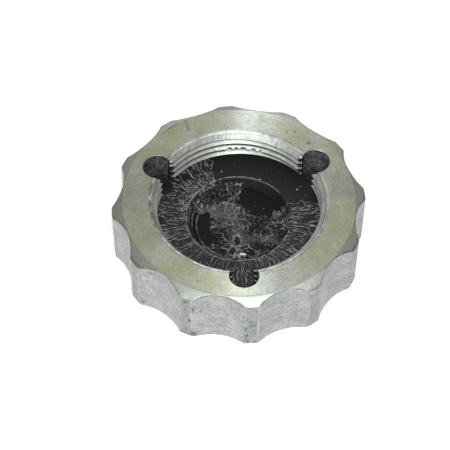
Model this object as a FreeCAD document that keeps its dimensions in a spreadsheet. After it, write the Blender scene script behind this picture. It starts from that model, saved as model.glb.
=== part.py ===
import FreeCAD, Part

import os

import Sketcher

# Screw-on filler cap: a lobed aluminium casting with a threaded mouth, and a rubber ring inside it.
# The cap lies on its closed face with the mouth up. Its axis is Z, and the closed face is at Z 0.
# All sizes are in millimetres and all angles in degrees.

SIZES = {
    "cap_height": "24.8",
    "tip_radius": "44.0",
    "lobe_draft": "0.9",
    "foot_chamfer": "1.0",
    "foot_corner_round": "0.5",
    "rim_chamfer_drop": "2.1",
    "rim_chamfer_run": "3.7",
    "lobe_count": "12",
    "lobe_angle": "7.0",
    "scallop_radius": "18.25",
    "scallop_depth": "3.25",
    "scallop_draft": "0.4",
    "bore_radius": "28.376",
    "lead_in_run": "2.124",
    "thread_end_depth": "10.1",
    "relief_depth": "1.924",
    "notch_count": "3",
    "notch_angle": "34.1",
    "notch_radius": "5.0",
    "notch_centre_offset": "3.524",
    "notch_overrun": "0.3",
    "ring_thickness": "3.5",
    "ring_width": "11.9",
    "ring_lean": "1.8",
    "ring_lip_chamfer": "0.4",
    "ring_headroom": "0.2",
    "ring_side_clearance": "0.3",
    "dish_wall_run": "1.5",
    "dish_depth": "0.8",
}

# Sizes that follow from those above: radii first, then heights over the closed face
TIED = {
    "face_radius": "tip_radius - rim_chamfer_run",
    "scallop_centre": "tip_radius - scallop_depth + scallop_radius",
    "lobe_corner_round": "foot_chamfer + foot_corner_round",
    "lead_in_radius": "bore_radius + lead_in_run",
    "relief_radius": "bore_radius + relief_depth",
    "notch_centre": "bore_radius + notch_centre_offset",
    "ring_outer_radius": "relief_radius - ring_side_clearance",
    "ring_inner_radius": "ring_outer_radius - ring_width",
    "dish_radius": "ring_inner_radius - ring_lean",
    "dish_floor_radius": "dish_radius - dish_wall_run",
    "chamfer_foot": "cap_height - rim_chamfer_drop",
    "lead_in_foot": "cap_height - lead_in_run",
    "thread_end": "cap_height - thread_end_depth",
    "ring_top": "thread_end - ring_headroom",
    "ring_seat": "ring_top - ring_thickness",
    "dish_floor": "ring_seat - dish_depth",
    "notch_depth": "thread_end_depth + notch_overrun",
    "tip_foot_radius": "tip_radius - chamfer_foot * tan(lobe_draft)",
    "scallop_foot_radius": "scallop_radius + cap_height * tan(scallop_draft)",
    "scallop_angle": "lobe_angle + 180 / lobe_count",
}

# How near an edge must lie to a plane or a circle to count as on it
TOLERANCE = 0.001

document = FreeCAD.newDocument("filler_cap")
sizes = document.addObject("Spreadsheet::Sheet", "sizes")
cells = list(SIZES.items()) + [(alias, f"={formula}") for alias, formula in TIED.items()]
for row, (alias, content) in enumerate(cells, start=1):
    sizes.set(f"A{row}", alias)
    sizes.set(f"B{row}", content)
    sizes.setAlias(f"B{row}", alias)
document.recompute()


def value(expression):
    """The number that an expression of the sheet's sizes stands for."""
    result = sizes.evalExpression(expression)
    return float(getattr(result, "Value", result))


def origin_part(body, role):
    """One plane or axis of the body's own origin."""
    return next(part for part in body.Origin.OriginFeatures if part.Role == role)


def new_sketch(body, name, role, height=None):
    """An empty sketch on a plane of the body's origin, raised by the expression in height."""
    sketch = body.newObject("Sketcher::SketchObject", name)
    sketch.AttachmentSupport = [(origin_part(body, role), "")]
    sketch.MapMode = "FlatFace"
    if height:
        sketch.setExpression("AttachmentOffset.Base.z", height)
    return sketch


def half_section(body, name, corners):
    """A closed outline on the XZ plane, each corner given as two expressions: radius and height."""
    sketch = new_sketch(body, name, "XZ_Plane")
    points = [FreeCAD.Vector(value(radius), value(height), 0) for radius, height in corners]
    for start, end in zip(points, points[1:] + points[:1]):
        sketch.addGeometry(Part.LineSegment(start, end))
    for index in range(len(points)):
        following = (index + 1) % len(points)
        sketch.addConstraint(Sketcher.Constraint("Coincident", index, 2, following, 1))
    for index, expressions in enumerate(corners):
        for kind, expression, axis in zip(("DistanceX", "DistanceY"), expressions, (-2, -1)):
            if expression == "0":
                sketch.addConstraint(Sketcher.Constraint("PointOnObject", index, 1, axis))
                continue
            size = Sketcher.Constraint(kind, -1, 1, index, 1, value(expression))
            number = sketch.addConstraint(size)
            sketch.setExpression(f"Constraints[{number}]", expression)
    return sketch


def offset_circle(body, name, radius, distance, angle, height=None):
    """A circle whose centre lies at a distance and an angle from the axis, all three expressions."""
    sketch = new_sketch(body, name, "XY_Plane", height)
    centre = FreeCAD.Vector(value(distance), 0, 0)
    turned = FreeCAD.Rotation(FreeCAD.Vector(0, 0, 1), value(angle)).multVec(centre)
    circle = sketch.addGeometry(Part.Circle(turned, FreeCAD.Vector(0, 0, 1), value(radius)))
    spoke = sketch.addGeometry(Part.LineSegment(FreeCAD.Vector(0, 0, 0), turned), True)
    sketch.addConstraint(Sketcher.Constraint("Coincident", spoke, 1, -1, 1))
    sketch.addConstraint(Sketcher.Constraint("Coincident", spoke, 2, circle, 3))
    bound = [
        (Sketcher.Constraint("Radius", circle, value(radius)), radius),
        (Sketcher.Constraint("Distance", spoke, value(distance)), distance),
        (Sketcher.Constraint("Angle", -1, 1, spoke, 1, FreeCAD.Units.Quantity(angle_text(angle))), angle),
    ]
    for constraint, expression in bound:
        number = sketch.addConstraint(constraint)
        sketch.setExpression(f"Constraints[{number}]", expression)
    return sketch


def angle_text(expression):
    """An angle's value written with its unit."""
    return f"{value(expression)} deg"


def turned(body, kind, name, sketch):
    """A full turn of a sketch about its upright axis: a Revolution or a Groove."""
    feature = body.newObject(f"PartDesign::{kind}", name)
    feature.Profile = sketch
    feature.ReferenceAxis = (sketch, ["V_Axis"])
    feature.Angle = 360
    sketch.Visibility = False
    document.recompute()
    return feature


def pocket(body, name, sketch, length, upward=False):
    """A pocket of the length that an expression gives, down or up from its sketch."""
    feature = body.newObject("PartDesign::Pocket", name)
    feature.Profile = sketch
    feature.Reversed = upward
    feature.setExpression("Length", length)
    sketch.Visibility = False
    document.recompute()
    return feature


def round_pattern(body, name, original, count):
    """Copies of a feature, spread evenly about the axis."""
    pattern = body.newObject("PartDesign::PolarPattern", name)
    pattern.Originals = [original]
    pattern.Axis = (origin_part(body, "Z_Axis"), [""])
    pattern.Angle = 360
    pattern.setExpression("Occurrences", count)
    body.Tip = pattern
    document.recompute()
    return pattern


def dressed(body, kind, name, base, size, wanted):
    """A Fillet or a Chamfer on those edges of a feature for which wanted(edge) is true."""
    edges = [f"Edge{number}" for number, edge in enumerate(base.Shape.Edges, start=1) if wanted(edge)]
    feature = body.newObject(f"PartDesign::{kind}", name)
    feature.Base = (base, edges)
    feature.setExpression("Radius" if kind == "Fillet" else "Size", size)
    document.recompute()
    return feature


def must_shrink(before, after):
    """Stops the build where a cut has taken nothing away."""
    if after.Shape.Volume >= before.Shape.Volume:
        raise RuntimeError(f"{after.Label} removed nothing")


def cap_body():
    """The casting: lobed grip, turned rim face, bored mouth, ring groove, dished floor, notches."""
    body = document.addObject("PartDesign::Body", "cap_body")
    body.Label = "cap_body"
    blank = turned(body, "Revolution", "blank", half_section(body, "blank_section", [
        ("0", "0"),
        ("sizes.tip_foot_radius", "0"),
        ("sizes.tip_radius", "sizes.chamfer_foot"),
        ("sizes.face_radius", "sizes.cap_height"),
        ("0", "sizes.cap_height"),
    ]))

    scallop_circle = offset_circle(body, "scallop_circle", "sizes.scallop_foot_radius",
                                   "sizes.scallop_centre", "sizes.scallop_angle")
    scallop = pocket(body, "scallop", scallop_circle, "sizes.cap_height", upward=True)
    scallop.setExpression("TaperAngle", "-sizes.scallop_draft")
    document.recompute()
    must_shrink(blank, scallop)
    scallops = round_pattern(body, "scallops", scallop, "sizes.lobe_count")
    corners = dressed(body, "Fillet", "lobe_corners", scallops, "sizes.lobe_corner_round", is_upright)
    foot = dressed(body, "Chamfer", "foot_chamfer", corners, "sizes.foot_chamfer", is_in_closed_face)

    mouth = turned(body, "Groove", "mouth", half_section(body, "mouth_section", [
        ("0", "sizes.dish_floor"),
        ("sizes.dish_floor_radius", "sizes.dish_floor"),
        ("sizes.dish_radius", "sizes.ring_seat"),
        ("sizes.relief_radius", "sizes.ring_seat"),
        ("sizes.relief_radius", "sizes.thread_end"),
        ("sizes.bore_radius", "sizes.thread_end"),
        ("sizes.bore_radius", "sizes.lead_in_foot"),
        ("sizes.lead_in_radius", "sizes.cap_height"),
        ("0", "sizes.cap_height"),
    ]))
    must_shrink(foot, mouth)

    notch_circle = offset_circle(body, "notch_circle", "sizes.notch_radius", "sizes.notch_centre",
                                 "sizes.notch_angle", height="sizes.cap_height")
    notch = pocket(body, "notch", notch_circle, "sizes.notch_depth")
    must_shrink(mouth, notch)
    round_pattern(body, "notches", notch, "sizes.notch_count")
    return body


def sealing_ring():
    """The flat rubber ring on its seat, its inner edge leaning inwards and broken on top."""
    body = document.addObject("PartDesign::Body", "sealing_ring")
    body.Label = "sealing_ring"
    ring = turned(body, "Revolution", "ring", half_section(body, "ring_section", [
        ("sizes.dish_radius", "sizes.ring_seat"),
        ("sizes.ring_outer_radius", "sizes.ring_seat"),
        ("sizes.ring_outer_radius", "sizes.ring_top"),
        ("sizes.ring_inner_radius", "sizes.ring_top"),
    ]))
    dressed(body, "Chamfer", "ring_lip", ring, "sizes.ring_lip_chamfer", is_ring_lip)
    return body


def is_upright(edge):
    """True for the edges that run up the grip, between a lobe's land and a scallop."""
    return edge.BoundBox.ZLength > value("sizes.cap_height") / 2


def is_in_closed_face(edge):
    """True for the edges in the plane of the closed face."""
    return abs(edge.BoundBox.ZMax) < TOLERANCE


def is_ring_lip(edge):
    """True for the circle at the top of the ring's inner edge."""
    top = abs(edge.BoundBox.ZMin - value("sizes.ring_top")) < TOLERANCE
    return top and abs(edge.BoundBox.XMax - value("sizes.ring_inner_radius")) < TOLERANCE


def check(bodies):
    """Stops the build at a failed object or a bad shape."""
    for item in document.Objects:
        if "Invalid" in item.State or "Error" in item.State:
            raise RuntimeError(f"{item.Label} failed: {item.State}")
    for body in bodies:
        if body.Shape.isNull() or not body.Shape.isValid() or len(body.Shape.Solids) != 1:
            raise RuntimeError(f"{body.Label} is not one valid solid")


bodies = [cap_body(), sealing_ring()]
document.recompute()
check(bodies)
os.makedirs("parts", exist_ok=True)
for body in bodies:
    body.Shape.exportStep(f"parts/{body.Label}.step")
    print(body.Label, round(body.Shape.Volume, 1), "mm3", body.Shape.BoundBox)
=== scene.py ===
import math
from functools import cached_property

import bmesh
import bpy
import numpy as np
from mathutils import Matrix, kdtree


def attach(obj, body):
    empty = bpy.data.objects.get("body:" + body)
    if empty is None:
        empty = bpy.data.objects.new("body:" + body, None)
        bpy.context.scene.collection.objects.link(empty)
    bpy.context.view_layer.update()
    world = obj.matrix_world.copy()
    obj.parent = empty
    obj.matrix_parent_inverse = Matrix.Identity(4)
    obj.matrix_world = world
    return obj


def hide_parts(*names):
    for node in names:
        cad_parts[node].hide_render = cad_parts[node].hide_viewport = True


# Lengths here are millimetres and angles degrees, until a mesh is made: meshes are in metres.
# Heights are over the closed face, radii from the cap's axis, azimuths from +X towards +Y.

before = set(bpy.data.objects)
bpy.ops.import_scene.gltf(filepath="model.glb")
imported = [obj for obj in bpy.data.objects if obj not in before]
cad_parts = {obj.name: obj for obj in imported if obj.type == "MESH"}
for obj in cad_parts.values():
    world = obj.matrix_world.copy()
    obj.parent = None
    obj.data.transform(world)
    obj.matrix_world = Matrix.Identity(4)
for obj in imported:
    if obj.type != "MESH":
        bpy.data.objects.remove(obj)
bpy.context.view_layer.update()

# The outside
HEIGHT = 24.8
TIP_RADIUS = 44.0
LOBE_DRAFT = math.tan(math.radians(0.9))
CHAMFER_FOOT = 22.7
FACE_RADIUS = 40.3
CHAMFER_SLOPE = (TIP_RADIUS - FACE_RADIUS) / (HEIGHT - CHAMFER_FOOT)
SCALLOPS = 12
SECTOR = 360.0 / SCALLOPS
SCALLOP_AZIMUTH = 22.0
SCALLOP_RADIUS = 18.25
SCALLOP_CENTRE = 59.0
SCALLOP_DRAFT = math.tan(math.radians(0.4))
CORNER_ROUND = 1.5
FOOT_ROUND = 1.38
OUTSIDE_FROM = 38.0

# The mouth and its thread
BURR_OUTER = 31.1
LEAD_IN_RADIUS = 30.5
LEAD_IN_FOOT = 22.7
MOUTH = HEIGHT - 0.2
THREAD_END = 14.7
PITCH = 3.0
DEGREES_PER_MM = 360.0 / PITCH
CREST_HEIGHT = 22.49
CREST_RADIUS = 28.376
ROOT_RADIUS = 30.0
RELIEF_RADIUS = 30.3

# The ring and the dish under it
RING_SEAT = 11.0
RING_TOP = 14.5
RING_OUTER = 30.0
RING_INNER = 18.1
DISH_RADIUS = 16.3
DISH_FLOOR_RADIUS = 14.8
DISH_FLOOR = 10.2
MOUTH_BOTTOM = 9.0

# The notches; the last is at the front
NOTCH_AZIMUTHS = (34.1, 154.1, 274.1)
NOTCH_CENTRE = 31.9
NOTCH_RADIUS = 5.0
NOTCH_FLOOR = 14.4
CUTTER_TOP = 26.0

CAST, TURNED, THREAD, CORED, EDGE, BARE = range(6)


# Noise and soft steps

def points_at(x, y=0.0, z=0.0):
    """Points from their coordinates."""
    return np.stack(np.broadcast_arrays(x, y, z), -1)


def hashed(cell, seed):
    """A fixed pseudo-random number from 0 to 1 for each whole-numbered cell."""
    x, y, z = (cell[..., i].astype(np.int64) for i in range(3))
    n = (x * 73856093) ^ (y * 19349663) ^ (z * 83492791) ^ (seed * 2654435761)
    n = (n ^ (n >> 13)) * 1274126177
    n = (n ^ (n >> 16)) * 2246822519
    return ((n ^ (n >> 15)) & 0xFFFFFF) / float(0xFFFFFF)


def noise(points, size, seed):
    """Smooth noise from -1 to 1 at points, with features of about that size."""
    p = np.asarray(points, float) / size
    cell = np.floor(p)
    f = p - cell
    f = f * f * (3 - 2 * f)
    total = 0
    for corner in np.ndindex(2, 2, 2):
        weight = 1.0
        for axis, upper in enumerate(corner):
            weight = weight * (f[..., axis] if upper else 1 - f[..., axis])
        total = total + weight * hashed(cell + corner, seed)
    return total * 2 - 1


def smooth(low, high, x):
    """0 below low, 1 above high, and a smooth step between them."""
    t = np.clip((x - low) / (high - low), 0, 1)
    return t * t * (3 - 2 * t)


def bell(x, width, middle=0.0):
    """1 at the middle, falling softly towards 0 on both sides."""
    return np.exp(-(((x - middle) / width) ** 2))


def zones(azimuth, places):
    """Soft zones around the cap, added up; each place is an azimuth, a width and how much."""
    return sum(much * bell(azimuth, width, at) for at, width, much in places)


# The cap's form: its outline, its thread and its notches

def off_scallop(azimuth):
    """Degrees from the middle of the nearest scallop."""
    return np.abs((azimuth - SCALLOP_AZIMUTH + SECTOR / 2) % SECTOR - SECTOR / 2)


def outline(azimuth, z, inset=0.0):
    """Radius of the lobed outside, moved inwards by inset, its corners rounded."""
    phi = np.radians(off_scallop(azimuth))
    tip = TIP_RADIUS - (CHAMFER_FOOT - z) * LOBE_DRAFT - inset
    bowl = SCALLOP_RADIUS + (HEIGHT - z) * SCALLOP_DRAFT + inset
    corner = CORNER_ROUND - inset
    far = tip - corner
    beta = np.arccos((far ** 2 + SCALLOP_CENTRE ** 2 - (bowl + corner) ** 2) / (2 * far * SCALLOP_CENTRE))
    fx, fy = far * np.cos(beta), far * np.sin(beta)
    share = bowl / (bowl + corner)
    meet = np.arctan2(fy * share, SCALLOP_CENTRE + (fx - SCALLOP_CENTRE) * share)
    across = SCALLOP_CENTRE * np.sin(phi)
    hollow = SCALLOP_CENTRE * np.cos(phi) - np.sqrt(np.maximum(bowl ** 2 - across ** 2, 0))
    along = fx * np.cos(phi) + fy * np.sin(phi)
    rounded = along + np.sqrt(np.maximum(corner ** 2 - far ** 2 + along ** 2, 0))
    return np.where(phi <= meet, hollow, np.where(phi >= beta, tip, rounded))


def on_outside(azimuth, z):
    """A point on the outside."""
    r = float(outline(np.array([azimuth]), z)[0])
    return r * math.cos(math.radians(azimuth)), r * math.sin(math.radians(azimuth)), z


def crease_height(azimuth):
    """Height at which the turned chamfer meets the cast outside."""
    crease = np.full(len(azimuth), 23.5)
    for _ in range(4):
        crease = HEIGHT - np.maximum(outline(azimuth, crease) - FACE_RADIUS, 0) / CHAMFER_SLOPE
    return crease


# Half a turn of the thread's profile: distance up from the middle of a crest, and radius
HALF_TURN = [(0.0, CREST_RADIUS), (0.27, CREST_RADIUS), (0.36, 28.40), (0.44, 28.49), (0.66, 28.87),
             (0.88, 29.25), (1.10, 29.63), (1.26, 29.90), (1.36, 29.985), (1.5, ROOT_RADIUS)]
TURN_STEPS = [s for s, _ in HALF_TURN] + [PITCH - s for s, _ in HALF_TURN[-2:0:-1]]

# Nicks in the crests: azimuth, height, half width in degrees, depth
NICKS = [(108.0, 18.0, 0.5, 0.3), (124.0, 20.4, 0.6, 0.4), (47.0, 22.2, 0.7, 0.4), (65.0, 19.2, 0.6, 0.35)]
NICK_HALF_HEIGHT = 0.6
# The lowest crest is chipped at the back: azimuth and height of the zigzag that is left
CHIPS = ([71.0, 73.5, 75.5, 78.0, 80.0, 81.8, 84.2, 86.0, 88.5, 90.5, 92.5, 95.0, 97.2, 99.4, 101.5],
         [16.4, 17.1, 18.1, 17.2, 18.2, 17.9, 16.9, 18.0, 18.4, 17.4, 18.4, 17.4, 18.5, 17.6, 16.6])
CHIPS_LOW, CHIPS_HIGH = 15.6, 18.7


def wall_radius(azimuth, z):
    """Radius of the threaded wall and its lead-in."""
    phase = (z - CREST_HEIGHT - azimuth / DEGREES_PER_MM) % PITCH
    half = np.minimum(phase, PITCH - phase)
    r = np.interp(half, *zip(*HALF_TURN))
    for nick_azimuth, nick_height, width, depth in NICKS:
        reach = np.maximum(0, 1 - np.abs(azimuth - nick_azimuth) / width)
        r = r + depth * reach * np.maximum(0, 1 - np.abs(z - nick_height) / NICK_HALF_HEIGHT)
    chipped = (azimuth > CHIPS[0][0]) & (azimuth < CHIPS[0][-1]) & (z < CHIPS_HIGH) & (z > CHIPS_LOW)
    left = CREST_RADIUS + np.clip(np.interp(azimuth, *CHIPS) - z, 0, 0.9) * 1.2
    r = np.where(chipped, np.maximum(r, left), r)
    ragged = 0.05 * noise(points_at(azimuth * 0.5, z), 0.7, 15)
    lead_in = LEAD_IN_RADIUS - (HEIGHT - z) + ragged * smooth(HEIGHT, HEIGHT - 0.4, z)
    return np.maximum(r, lead_in)


def notch_centre(azimuth):
    return NOTCH_CENTRE * math.cos(math.radians(azimuth)), NOTCH_CENTRE * math.sin(math.radians(azimuth))


def off_notch(x, y, azimuth):
    """How far points are outside a notch's wall."""
    cx, cy = notch_centre(azimuth)
    return np.hypot(x - cx, y - cy) - NOTCH_RADIUS


def behind_notch(y, azimuth):
    """Whether points lie behind a rear notch, where the thread's cut ends face the front."""
    return y > max(0, notch_centre(azimuth)[1])


# Meshes

def placed(name, data):
    """A new object in the scene."""
    made = bpy.data.objects.new(name, data)
    bpy.context.scene.collection.objects.link(made)
    return made


class Shell:
    """Rows of points, joined into a closed skin."""

    def __init__(self):
        self.vertices, self.faces, self.kinds = [], [], []

    def row(self, x, y, z):
        """Adds a row of points and gives their numbers."""
        first = len(self.vertices)
        self.vertices.extend(zip(*np.broadcast_arrays(x, y, z)))
        return list(range(first, len(self.vertices)))

    def face(self, corners, kind):
        self.faces.append(corners)
        self.kinds.append(kind)

    def join(self, lower, upper, kind):
        """Quads between two closed rows."""
        for i in range(len(lower)):
            j = (i + 1) % len(lower)
            self.face((lower[i], lower[j], upper[j], upper[i]), kind)

    def join_all(self, rows, kind):
        for lower, upper in zip(rows, rows[1:]):
            self.join(lower, upper, kind)

    def fan(self, row, centre, kind):
        """Closes a row towards one point."""
        middle = len(self.vertices)
        self.vertices.append(centre)
        for i in range(len(row)):
            self.face((row[i], row[(i + 1) % len(row)], middle), kind)

    def build(self, name, materials):
        """The mesh object, its doubles merged and its normals turned outwards."""
        mesh = bpy.data.meshes.new(name)
        mesh.from_pydata([tuple(v) for v in np.asarray(self.vertices) * 0.001], [], self.faces)
        mesh.polygons.foreach_set("material_index", self.kinds)
        work = bmesh.new()
        work.from_mesh(mesh)
        bmesh.ops.remove_doubles(work, verts=work.verts, dist=2e-6)
        bmesh.ops.dissolve_degenerate(work, edges=work.edges, dist=1e-7)
        bmesh.ops.recalc_face_normals(work, faces=work.faces)
        work.to_mesh(mesh)
        work.free()
        for material in materials:
            mesh.materials.append(material)
        return placed(name, mesh)


def column_azimuths():
    """Azimuths of the mesh's columns: close together at the corners of the lobes."""
    half = np.concatenate([np.arange(0, 8.5, 0.85), np.arange(8.5, 13.6, 0.3), [13.9, 14.45]])
    sector = np.concatenate([half, [SECTOR / 2], SECTOR - half[:0:-1]])
    return np.concatenate([sector + SECTOR * i for i in range(SCALLOPS)]) + SCALLOP_AZIMUTH


def outside_profile(azimuth):
    """Radius, height and material of the rows from the closed face to the mouth's edge."""
    rows = [(r, 0.0, CAST) for r in (12.0, 24.0, 34.0)]
    for angle in (0, 18, 36, 54, 72, 90):
        z = FOOT_ROUND * (1 - math.cos(math.radians(angle)))
        inset = FOOT_ROUND * (1 - math.sin(math.radians(angle)))
        rows.append((outline(azimuth, z, inset), z, CAST))
    crease = crease_height(azimuth)
    top = crease - 0.55
    for t in np.linspace(0, 1, 15)[1:]:
        z = FOOT_ROUND + (top - FOOT_ROUND) * t
        rows.append((outline(azimuth, z), z, CAST))
    rows.append((outline(azimuth, crease - 0.16), crease - 0.16, CAST))
    # The turned chamfer, its lower edge a little broken
    rows.append((outline(azimuth, crease) - 0.05, crease - 0.03, EDGE))
    for t in (0.06, 0.36, 0.66, 0.95):
        z = crease + (HEIGHT - crease) * t
        rows.append((FACE_RADIUS + (HEIGHT - z) * CHAMFER_SLOPE, z, EDGE))
    rows.append((FACE_RADIUS - 0.04, HEIGHT - 0.01, EDGE))
    # The turned face, and a burr around the mouth
    rows += [(r, HEIGHT, TURNED) for r in (40.1, 39.2, 38.0, 36.6, 35.2, 33.8, 32.6, 31.5)]
    wander = noise(points_at(azimuth * 0.55), 1.3, 16)
    return rows + [(30.98 + 0.12 * wander, HEIGHT - 0.03, TURNED), (30.8 + 0.07 * wander, HEIGHT, BARE)]


def add_thread(shell, row, azimuth):
    """The threaded wall: its rows follow the helix, so that each turn keeps its edges."""
    top_crest = CREST_HEIGHT + PITCH * math.ceil((HEIGHT - CREST_HEIGHT) / PITCH)
    turns = math.ceil((top_crest - THREAD_END) / PITCH) + 1
    helix = []
    for step in [turn * PITCH + step for turn in range(turns) for step in TURN_STEPS]:
        z = np.clip(top_crest + azimuth / DEGREES_PER_MM - step, THREAD_END, MOUTH)
        helix.append(row(wall_radius(azimuth, z), z))
    helix = np.array(helix)[:, np.argsort(azimuth, kind="stable")]
    per_turn = len(TURN_STEPS)
    last = len(azimuth) - 1
    for j in range(len(helix) - 1):
        for i in range(len(azimuth)):
            # The last column meets the first one a turn higher up
            if i == last:
                a, b = helix[max(j - per_turn, 0)][0], helix[max(j + 1 - per_turn, 0)][0]
            else:
                a, b = helix[j][i + 1], helix[j + 1][i + 1]
            corners = tuple(dict.fromkeys((helix[j][i], helix[j + 1][i], b, a)))
            if len(corners) > 2:
                shell.face(corners, THREAD)


def cap_blank(materials):
    """The whole cap but for the notches, as one closed mesh."""
    azimuth = column_azimuths()
    n = len(azimuth)
    c, s = np.cos(np.radians(azimuth)), np.sin(np.radians(azimuth))
    shell = Shell()

    def row(r, z):
        return shell.row(r * c, r * s, z)

    profile = outside_profile(azimuth)
    rows = [row(r, z) for r, z, _ in profile]
    for lower, upper, (_, _, kind) in zip(rows, rows[1:], profile[1:]):
        shell.join(lower, upper, kind)
    shell.fan(rows[0], (0, 0, 0), CAST)

    turn = azimuth % 360.0
    add_thread(shell, row, turn)
    shell.join(rows[-1], row(wall_radius(turn, MOUTH), MOUTH), BARE)

    # Under the thread: the ring's groove and seat, then half as many columns down to the dish
    under = [row(r, z) for r, z in (
        (wall_radius(turn, THREAD_END), THREAD_END), (RELIEF_RADIUS - 0.15, THREAD_END),
        (RELIEF_RADIUS, THREAD_END), (RELIEF_RADIUS, RING_TOP - 0.1), (30.05, RING_TOP - 0.35),
        (30.04, RING_SEAT), (20.0, RING_SEAT))]
    shell.join_all(under, CORED)
    dish = [(17.2, RING_SEAT), (DISH_RADIUS, RING_SEAT), (15.9, 10.79), (15.5, 10.57), (15.1, 10.36),
            (DISH_FLOOR_RADIUS, DISH_FLOOR)]
    dish += [(r, DISH_FLOOR) for r in np.linspace(DISH_FLOOR_RADIUS, 0.35, 55)[1:]]
    half_rows = [shell.row(r * c[::2], r * s[::2], z) for r, z in dish]
    outer, inner = under[-1], half_rows[0]
    for i in range(n // 2):
        j = (i + 1) % (n // 2)
        shell.face((outer[2 * i], outer[2 * i + 1], outer[(2 * i + 2) % n], inner[j], inner[i]), CORED)
    shell.join_all(half_rows, CORED)
    shell.fan(half_rows[-1], (0, 0, DISH_FLOOR), CORED)
    return shell.build("cap_casting", materials)


def notch_cutter(azimuth, seed, materials):
    """What a cored notch takes away: a rough upright cylinder with a rounded foot and a broken rim."""
    columns = 88
    flat, foot, rim = 4.1, 0.9, NOTCH_RADIUS + 0.22
    turn = np.arange(columns) * 2 * math.pi / columns
    cx, cy = notch_centre(azimuth)
    profile = [(r, NOTCH_FLOOR) for r in np.linspace(0.3, flat, 16)]
    profile += [(flat + foot * math.sin(a), NOTCH_FLOOR + foot * (1 - math.cos(a)))
                for a in np.radians((20, 40, 60, 75, 90))]
    profile += [(NOTCH_RADIUS, z) for z in np.linspace(15.6, 24.5, 22)]
    profile += [(rim, HEIGHT + 0.02), (rim, CUTTER_TOP)]
    shell = Shell()
    rows = []
    for r, z in profile:
        x, y = cx + r * np.cos(turn), cy + r * np.sin(turn)
        points = points_at(x, y, z)
        if r > 4.5 and z < 24.4:
            rough = 0.2 * noise(points, 1.5, seed) + 0.1 * noise(points, 0.6, seed + 1)
            x, y = x + rough * np.cos(turn), y + rough * np.sin(turn)
        rows.append(shell.row(x, y, z))
    shell.join_all(rows[:-2], CORED)
    shell.join_all(rows[-3:], BARE)
    shell.fan(rows[0], (cx, cy, NOTCH_FLOOR), CORED)
    shell.fan(rows[-1], (cx, cy, CUTTER_TOP), CORED)
    return shell.build("notch_cutter", materials)


def cut(body, tools):
    """Takes the tools away from a body, exactly, and deletes them."""
    for tool in tools:
        modifier = body.modifiers.new("cut", "BOOLEAN")
        modifier.operation = "DIFFERENCE"
        modifier.solver = "EXACT"
        modifier.object = tool
    bpy.context.view_layer.update()
    depsgraph = bpy.context.evaluated_depsgraph_get()
    mesh = bpy.data.meshes.new_from_object(body.evaluated_get(depsgraph), preserve_all_data_layers=True,
                                           depsgraph=depsgraph)
    old = body.data
    body.modifiers.clear()
    body.data = mesh
    bpy.data.meshes.remove(old)
    for tool in tools:
        bpy.data.objects.remove(tool)


# The pale crinkled film on the ring and the floor of the mouth

# Bubbles in the film: x, y, half width, half length, turn in degrees
BUBBLES = [(-0.3, -6.9, 1.1, 2.1, 8), (-1.9, -11.3, 1.25, 1.7, -10), (2.2, -9.4, 1.5, 0.75, 20)]
# Specks on the bare sector: x, y, radius
SPECKS = [(20.4, 13.1, 0.5), (21.6, 14.4, 0.22), (-6.4, 20.4, 0.3), (-6.6, 15.8, 0.32), (2.5, 11.7, 0.22),
          (7.2, 17.2, 0.3), (11.8, 14.0, 0.28), (-2.0, 23.5, 0.2), (9.6, 22.3, 0.18), (16.2, 17.4, 0.18),
          (13.6, 20.6, 0.16), (23.4, 10.6, 0.2), (5.6, 8.6, 0.2), (8.8, 7.6, 0.25), (17.8, 9.8, 0.2),
          (3.9, 25.4, 0.18)]
# Thin pale lines, painted highlights along the ring's lip and pale lines at the foot of the dish: radius,
# first and last azimuth, how much
PALE_ARCS = [(18.2, 40, 250, 0.5), (18.2, 186, 345, 0.85), (16.25, 160, 250, 0.35), (14.7, 160, 262, 0.6),
             (14.7, 285, 330, 0.45)]
# Where the film ends: at two azimuths on the ring, by radius, and across the floor, by x
RING_EDGE = ([14.0, 15.8, 16.6, 18.5, 21.2, 24.7, 28.0], [89, 93, 122, 119, 115.4, 113.9, 112.8])
RING_EDGE_LOW = ([18.0, 20.3, 23.2, 26.3, 29.0], [24, 22.9, 21.3, 17.3, 13.0])
FLOOR_EDGE = ([-2.6, 0, 2.5, 4.5, 6.1, 8, 9.8, 11, 12, 16],
              [9.8, 9.3, 7.6, 5.2, 3.2, 4.2, 4.5, 3.0, 5.8, 6.3])


def cell_edges(points, seeds, seed):
    """By each point's two nearest seeds: how far their edge is, how much it runs across, its number."""
    tree = kdtree.KDTree(len(seeds))
    for index, place in enumerate(seeds):
        tree.insert((place[0], place[1], 0.0), index)
    tree.balance()
    reach, apart, pair = (np.empty((len(points), size)) for size in (2, 2, 3))
    for index, point in enumerate(points):
        (a, i, near), (b, j, far) = tree.find_n((point[0], point[1], 0.0), 2)
        reach[index], apart[index] = (near, far), (a.x - b.x, a.y - b.y)
        pair[index] = min(i, j), max(i, j), 0
    gap = np.hypot(*apart.T) + 1e-9
    distance = (reach[:, 1] ** 2 - reach[:, 0] ** 2) / (2 * gap)
    return distance, np.abs(apart[:, 1]) / gap, hashed(pair, seed)


def scattered(low, high, spacing, seed):
    """Seeds scattered evenly over a rectangle, one in each cell."""
    generator = np.random.default_rng(seed)
    x, y = np.meshgrid(np.arange(low[0], high[0], spacing), np.arange(low[1], high[1], spacing))
    cells = np.stack([x.ravel(), y.ravel()], -1)
    return cells + generator.uniform(0.02, 0.98, cells.shape) * spacing


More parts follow.
